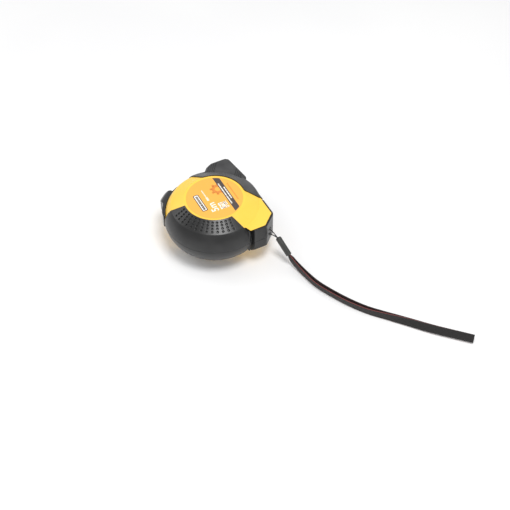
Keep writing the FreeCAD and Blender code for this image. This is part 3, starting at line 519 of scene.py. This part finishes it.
def curve_places(curve):
    """Points along a curve with no bevel."""
    graph = bpy.context.evaluated_depsgraph_get()
    line = bpy.data.meshes.new_from_object(curve.evaluated_get(graph))
    places = [v.co.copy() for v in line.vertices]
    bpy.data.meshes.remove(line)
    return places


def evenly(places, step):
    """The same line, as points a steady distance apart."""
    spans = [(b - a).length for a, b in zip(places, places[1:])]
    total = sum(spans)
    count = max(2, round(total / step))
    made, k, done = [], 0, 0.0
    for n in range(count + 1):
        want = total * n / count
        while k < len(spans) - 1 and done + spans[k] < want:
            done += spans[k]
            k += 1
        share = (want - done) / spans[k] if spans[k] else 0
        made.append(places[k].lerp(places[k + 1], min(1, max(0, share))))
    return made, total


def directions(places):
    ends = [places[0]] + places[:-1], places[1:] + [places[-1]]
    return [(b - a).normalized() for a, b in zip(*ends)]


def swept(sections):
    """Closed mesh through closed sections of equal point counts."""
    mesh = bpy.data.meshes.new("swept")
    count = len(sections[0])
    verts = [p for section in sections for p in section]
    faces = []
    for k in range(len(sections) - 1):
        for n in range(count):
            a, b = k * count + n, k * count + (n + 1) % count
            faces.append((a, b, b + count, a + count))
    faces.append(tuple(reversed(range(count))))
    faces.append(tuple(range((len(sections) - 1) * count, len(sections) * count)))
    mesh.from_pydata(verts, [], faces)
    mesh.validate()
    for face in mesh.polygons:
        face.use_smooth = len(face.vertices) == 4
    return mesh


def lanyard_cord():
    """Braided cord: strands crossing over each other round the cord's line."""
    guide = smooth_curve("cord_guide", [place(*p) for p in CORD_POINTS])
    places, length = evenly(curve_places(guide), CORD_STEP * MM)
    bpy.data.objects.remove(guide)
    ahead = directions(places)
    radius = CORD_DIAMETER / 2 * MM
    side = ahead[0].orthogonal().normalized()
    sections, turned = [], 0.0
    for spot, way in zip(places, ahead):
        side = (side - way * side.dot(way)).normalized()
        up = way.cross(side)
        turned += CORD_STEP * BRAID_TURN
        section = []
        for n in range(CORD_AROUND):
            a = math.tau * n / CORD_AROUND
            crossing = BRAID_STRANDS * a
            weave = 0.5 + 0.5 * math.cos(crossing + turned) * math.cos(crossing - turned)
            r = radius * (0.88 + 0.14 * weave)
            section.append(spot + side * (math.cos(a) * r) + up * (math.sin(a) * r))
        sections.append(section)
    piece = new_piece("lanyard_loop", swept(sections), BRAID, "case")
    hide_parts("lanyard_cord")
    return piece, places, length


def strap_state(spot, knots):
    """Tilt, width and thickness at a place, between the two nearest knots."""
    best = None
    for (a, *_), (b, *_), k in zip(knots, knots[1:], range(len(knots))):
        step = b - a
        share = min(1.0, max(0.0, (spot - a).dot(step) / step.dot(step)))
        gap = (a + step * share - spot).length
        if best is None or gap < best[0]:
            best = (gap, k, share)
    _, k, share = best
    return [u + (v - u) * share for u, v in zip(knots[k][1:], knots[k + 1][1:])]


def strap_knots():
    end = place(*SLEEVE_END)
    ahead = (end - place(*SLEEVE_START)).normalized()
    start, bend = end - ahead * STRAP_TUCK * MM, end + ahead * STRAP_BEND * MM
    knots = [(start, ON_EDGE, *STRAP_NECK), (end, ON_EDGE, *STRAP_NECK),
             (bend, ON_EDGE, *STRAP_MOUTH)]
    for x, y, tilt, lift, thick in STRAP_POINTS:
        lean = math.radians(tilt)
        half_height = STRAP_WIDTH / 2 * math.sin(lean) + thick / 2 * abs(math.cos(lean))
        height = half_height + STRAP_LIFT + lift
        knots.append((Vector((x * MM, y * MM, height * MM)), float(tilt), STRAP_WIDTH, thick))
    return knots


def strap_layer(places, ahead, knots, sign):
    """One webbing layer: ribbed across, maroon inside the loop, the upper one edged in red."""
    rows, run = [], 0.0
    for k, (spot, way) in enumerate(zip(places, ahead)):
        if k:
            run += (spot - places[k - 1]).length / MM
        tilt, width, thick = strap_state(spot, knots)
        side = Vector((0, 0, 1)).cross(way).normalized()
        up = way.cross(side).normalized()
        lean = math.radians(tilt)
        wide = side * math.cos(lean) + up * math.sin(lean)
        deep = up * math.cos(lean) - side * math.sin(lean)
        layer = min(WEB_THICK, thick * LAYER_SHARE)
        middle = sign * (thick - layer) / 2
        rib = RIB_HIGH * math.sin(math.tau * run / RIB_EVERY)
        row = []
        for n in range(STRAP_ACROSS * 2):
            first = n < STRAP_ACROSS
            t = (n if first else 2 * STRAP_ACROSS - 1 - n) / (STRAP_ACROSS - 1) * 2 - 1
            rounding = (1 - abs(t) ** 10) ** 0.5
            ribbed, piping = (rib, 0.0) if abs(t) < PIPING_FROM else (rib * 0.3, PIPING_HIGH)
            depth = layer / 2 * (0.6 + 0.4 * rounding) + ribbed * rounding
            depth = max(0.05, depth - RIB_HIGH + piping)
            off = middle + (depth if first else -depth)
            row.append(spot + (wide * (t * width / 2) + deep * off) * MM)
        rows.append(row)
    mesh = swept(rows)
    count = STRAP_ACROSS * 2
    for face in mesh.polygons:
        if len(face.vertices) > 4:
            continue
        start = min(v % count for v in face.vertices)
        wraps = {v % count for v in face.vertices} == {0, count - 1}
        column = start if start < STRAP_ACROSS else count - 2 - start
        near, outer = sign > 0, (start < STRAP_ACROSS) == (sign > 0)
        rim = wraps or start == STRAP_ACROSS - 1
        inner_edge = not outer and not 1 < column < STRAP_ACROSS - 3
        if near and (rim or inner_edge):
            face.material_index = 1
        elif not outer and not rim:
            face.material_index = 2
    return mesh


def wrist_strap():
    knots = strap_knots()
    route = [knots[0][0]] + [knot[0] for knot in knots[2:]]
    guide = smooth_curve("strap_guide", route)
    places, length = evenly(curve_places(guide), STRAP_STEP * MM)
    bpy.data.objects.remove(guide)
    ahead = directions(places)
    mesh = joined([strap_layer(places, ahead, knots, sign) for sign in (1, -1)])
    for material in (WEB_BLACK, WEB_RED, WEB_MAROON):
        mesh.materials.append(material)
    piece = new_piece("strap_webbing", mesh, None, "case")
    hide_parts("wrist_strap")
    return piece, places, length


cord_piece, cord_path, cord_length = lanyard_cord()
strap_piece, strap_path, strap_length = wrist_strap()
sleeve_piece = softened("lanyard_sleeve", "sleeve_tube", SLEEVE_GREY, "case",
                        0.16 * MM, 4)

# --- moulded pieces -------------------------------------------------------------------------------
for side in ("label_side", "clip_side"):
    for node, name, material, slot, cell, passes in (
            ("case_shell_", "shell_", YELLOW, "case_yellow", 0.40 * MM, 4),
            ("rear_grip_", "grip_rear_", RUBBER, "soft_black", 0.20 * MM, 2),
            # the nose boots take the lighter rubber copy, which is painted light
            ("nose_boot_", "boot_nose_", BOOT_RUBBER_PAINTED_LIT, "soft_black", 0.20 * MM, 2),
            ("corner_grip_", "grip_corner_", RUBBER, "soft_black", 0.24 * MM, 4)):
        softened(node + side, name + side, material, "case", cell, passes)
softened("lock_button", "button_lock", GLOSS, "lock", 0.16 * MM, 3)

for node, material in (
        ("label", LABEL), ("case_screws", ZINC), ("belt_clip", NICKEL), ("belt_clip_screw", ZINC),
        ("centre_post", SATIN_BLACK), ("power_spring", BLUED), ("mouth_liner", NICKEL),
        ("hook_bumper", RUBBER), ("spring_drum", ACETAL), ("drum_cover", ACETAL),
        ("blade_coil", WOUND), ("blade_lead", LACQUER), ("hook_rivets", ZINC),
        ("end_hook", NICKEL), ("lock_slider", SATIN_BLACK), ("brake_pad", RUBBER),
        ("lanyard_bar", SATIN_BLACK)):
    dress(node, material)


# --- label print ----------------------------------------------------------------------------------
INK = 0.03 * MM             # thickness of one layer of print


def on_label(name, outlines, material, layer=0):
    """Print on the label from outlines in millimetres about its centre."""
    height = LABEL_TOP + layer * INK
    meshes = [flat_shape([(x * MM, y * MM) for x, y in outline], height, INK)
              for outline in outlines]
    return new_piece(name, joined(meshes), material, "case")


def chord_band(y0, y1, inset):
    """Band across the label between two heights, its ends on the label's edge."""
    radius = LABEL_RADIUS / MM - inset
    points = []
    for sign in (1, -1):
        for k in range(7):
            y = (y0 + (y1 - y0) * k / 6) if sign > 0 else (y1 + (y0 - y1) * k / 6)
            points.append((sign * math.sqrt(radius ** 2 - y * y), y))
    return points


def ring_strip(x, y, inner, outer, steps=32):
    """Annulus as quads, each its own outline."""
    def at(radius, k):
        a = math.tau * k / steps
        return (x + radius * math.cos(a), y + radius * math.sin(a))
    return [[at(inner, k), at(outer, k), at(outer, k + 1), at(inner, k + 1)] for k in range(steps)]


def text_mesh(words, size, bolder, thick=0.0, align="LEFT"):
    """Plain characters as a mesh, reading along +X; a bolder stroke by the given offset."""
    data = bpy.data.curves.new("words", "FONT")
    data.body, data.size, data.offset = words, size, bolder
    data.extrude, data.align_x = thick / 2, align
    piece = bpy.data.objects.new("words", data)
    bpy.context.scene.collection.objects.link(piece)
    bpy.context.view_layer.update()
    graph = bpy.context.evaluated_depsgraph_get()
    mesh = bpy.data.meshes.new_from_object(piece.evaluated_get(graph))
    bpy.data.objects.remove(piece)
    mesh.materials.clear()
    return mesh


def text_print(name, words, x, y, size, material):
    """Plain characters printed on the label."""
    mesh = text_mesh(words, size * MM, size * MM * 0.02, INK)
    mesh.transform(Matrix.Translation((x * MM, y * MM, LABEL_TOP + INK / 2)))
    return new_piece(name, mesh, material, "case")


def dashes(x0, x1, y0, y1, seed, longest=1.5):
    """A row of short bars that stands in for small print."""
    rng = random.Random(seed)
    bars, x = [], x0
    while x < x1 - 0.5:
        end = min(x1, x + rng.uniform(0.35, longest))
        bars.append(rectangle(x, end, y0, y1))
        x = end + 0.28
    return bars


def check_cells(x, y, size, cells, seed):
    """Light and dark cells of a small square; it holds no code."""
    rng = random.Random(seed)
    step = size / cells
    light_cells, dark_cells = [], []
    for i in range(cells):
        for j in range(cells):
            cell = rectangle(x + i * step, x + (i + 1) * step, y + j * step, y + (j + 1) * step)
            pick = rng.random()
            if pick < 0.58:
                light_cells.append(cell)
            elif pick < 0.74:
                dark_cells.append(cell)
    return light_cells, dark_cells


def gear(x, y, teeth, hole, root, tip, phase):
    """A gear as quads: its annulus and its teeth."""
    def at(radius, angle):
        a = math.radians(angle)
        return (x + radius * math.cos(a), y + radius * math.sin(a))
    parts = ring_strip(x, y, hole, root)
    pitch = 360 / teeth
    for k in range(teeth):
        a = phase + k * pitch
        parts.append([at(root * 0.97, a - pitch * 0.27), at(tip, a - pitch * 0.17),
                      at(tip, a + pitch * 0.17), at(root * 0.97, a + pitch * 0.27)])
    return parts


on_label("print_gear", gear(6.6, -5.8, 8, 2.1, 4.3, 5.7, -67.5), INK_RUST)
on_label("print_band", [chord_band(-11.6, -7.2, 0.6)], INK_DARK, 1)
on_label("print_band_lines",
         dashes(-10.6, 11.1, -8.8, -7.9, 3, 2.2) + dashes(-5.9, 6.7, -10.9, -10.0, 5, 2.2),
         INK_WHITE, 2)
light_cells, dark_cells = check_cells(-12.4, -5.6, 6.3, 12, 11)
on_label("print_check_light", light_cells, INK_WHITE)
on_label("print_check_dark", dark_cells, INK_DARK)
text_print("print_capacity", "5m", -12.45, 2.35, 7.2, INK_WHITE)
on_label("print_capacity_lines",
         dashes(-0.6, 3.4, 4.2, 5.8, 17, 0.9) + dashes(3.7, 10.9, 4.7, 5.5, 19, 0.8), INK_WHITE)
on_label("print_plate", [rounded(-8.6, 8.2, 9.0, 13.2, 0.9)], INK_DARK)
on_label("print_plate_bar", [rounded(-8.0, 7.6, 9.6, 12.6, 0.5)], INK_WHITE, 1)
on_label("print_plate_core", dashes(-7.3, 6.9, 10.3, 11.9, 23, 1.7), INK_DARK, 2)
on_label("print_small_line", dashes(-8.8, 9.0, -14.6, -13.7, 29, 0.9), INK_RUST)


# --- blade print ----------------------------------------------------------------------------------
BLADE_ZERO = BLADE_FRONT + 0.3 * MM     # the marks count from the hook's lip
TICK_EDGE = 9.3 * MM                    # outer end of each mark, from the blade's middle
TICK_WIDTH = 0.17 * MM
TICK_LONG = (2.4 * MM, 3.9 * MM, 5.6 * MM)      # each millimetre, fifth and tenth
TAB_REACH = 13.6 * MM                   # the hook's tab covers the middle of the blade up to here
NUMERAL_SIZE = 4.6 * MM
NUMERAL_DROP = 1.6 * MM                 # foot of the numerals below the blade's middle


def blade_tree():
    """Search tree of the straight blade's own faces."""
    mesh = bpy.data.objects["blade_lead"].data
    return BVHTree.FromPolygons([v.co for v in mesh.vertices],
                                [list(f.vertices) for f in mesh.polygons])


def draped(tree, x, across):
    """A point just over the blade's hollow face."""
    hit = tree.ray_cast(Vector((x, 0, SPLIT + across)), Vector((0, -1, 0)))
    return hit[0] + Vector((0, 0.012 * MM, 0))


def blade_tick(tree, x, start, end, width):
    """A thin printed line across the blade, bent to its curve."""
    steps = 6
    verts, faces = [], []
    for k in range(steps + 1):
        across = start + (end - start) * k / steps
        verts += [draped(tree, x - width / 2, across), draped(tree, x + width / 2, across)]
    for k in range(steps):
        a = 2 * k
        faces.append((a, a + 1, a + 3, a + 2))
    mesh = bpy.data.meshes.new("tick")
    mesh.from_pydata(verts, [], faces)
    return mesh


def blade_ticks(tree):
    """Millimetre marks along both edges, longer at every fifth and tenth."""
    each, fifth, tenth = TICK_LONG
    ticks = []
    for k in range(1, int((BLADE_ZERO - 2.0 * MM) / MM)):
        x = BLADE_ZERO - k * MM
        under_tab = x > BLADE_ZERO - TAB_REACH
        long = each if under_tab or k % 5 else (fifth if k % 10 else tenth)
        for sign in (1, -1):
            start, end = sign * TICK_EDGE, sign * (TICK_EDGE - long)
            ticks.append(blade_tick(tree, x, start, end, TICK_WIDTH))
    return new_piece("print_blade_ticks", joined(ticks), INK_BLACK, "blade")


def blade_number(tree, digit, x):
    """One numeral, printed in the middle of the blade, read with the hook to the left."""
    mesh = text_mesh(digit, NUMERAL_SIZE, 0.08 * MM, align="CENTER")
    build = bmesh.new()
    build.from_mesh(mesh)
    bmesh.ops.triangulate(build, faces=build.faces[:])
    bmesh.ops.subdivide_edges(build, edges=build.edges[:], cuts=2, use_grid_fill=True)
    for v in build.verts:
        v.co = draped(tree, x - v.co.x, v.co.y - NUMERAL_DROP)
    bmesh.ops.recalc_face_normals(build, faces=build.faces[:])
    build.to_mesh(mesh)
    build.free()
    return new_piece("print_blade_numeral_" + digit, mesh, INK_BLACK, "blade")


lead_tree = blade_tree()
blade_ticks(lead_tree)
blade_number(lead_tree, "2", BLADE_ZERO - 20 * MM)
blade_number(lead_tree, "3", BLADE_ZERO - 30 * MM)

# --- facts of the cords ---------------------------------------------------------------------------
tuple(place(*CORD_EXIT))
tuple(place(*SLEEVE_END))
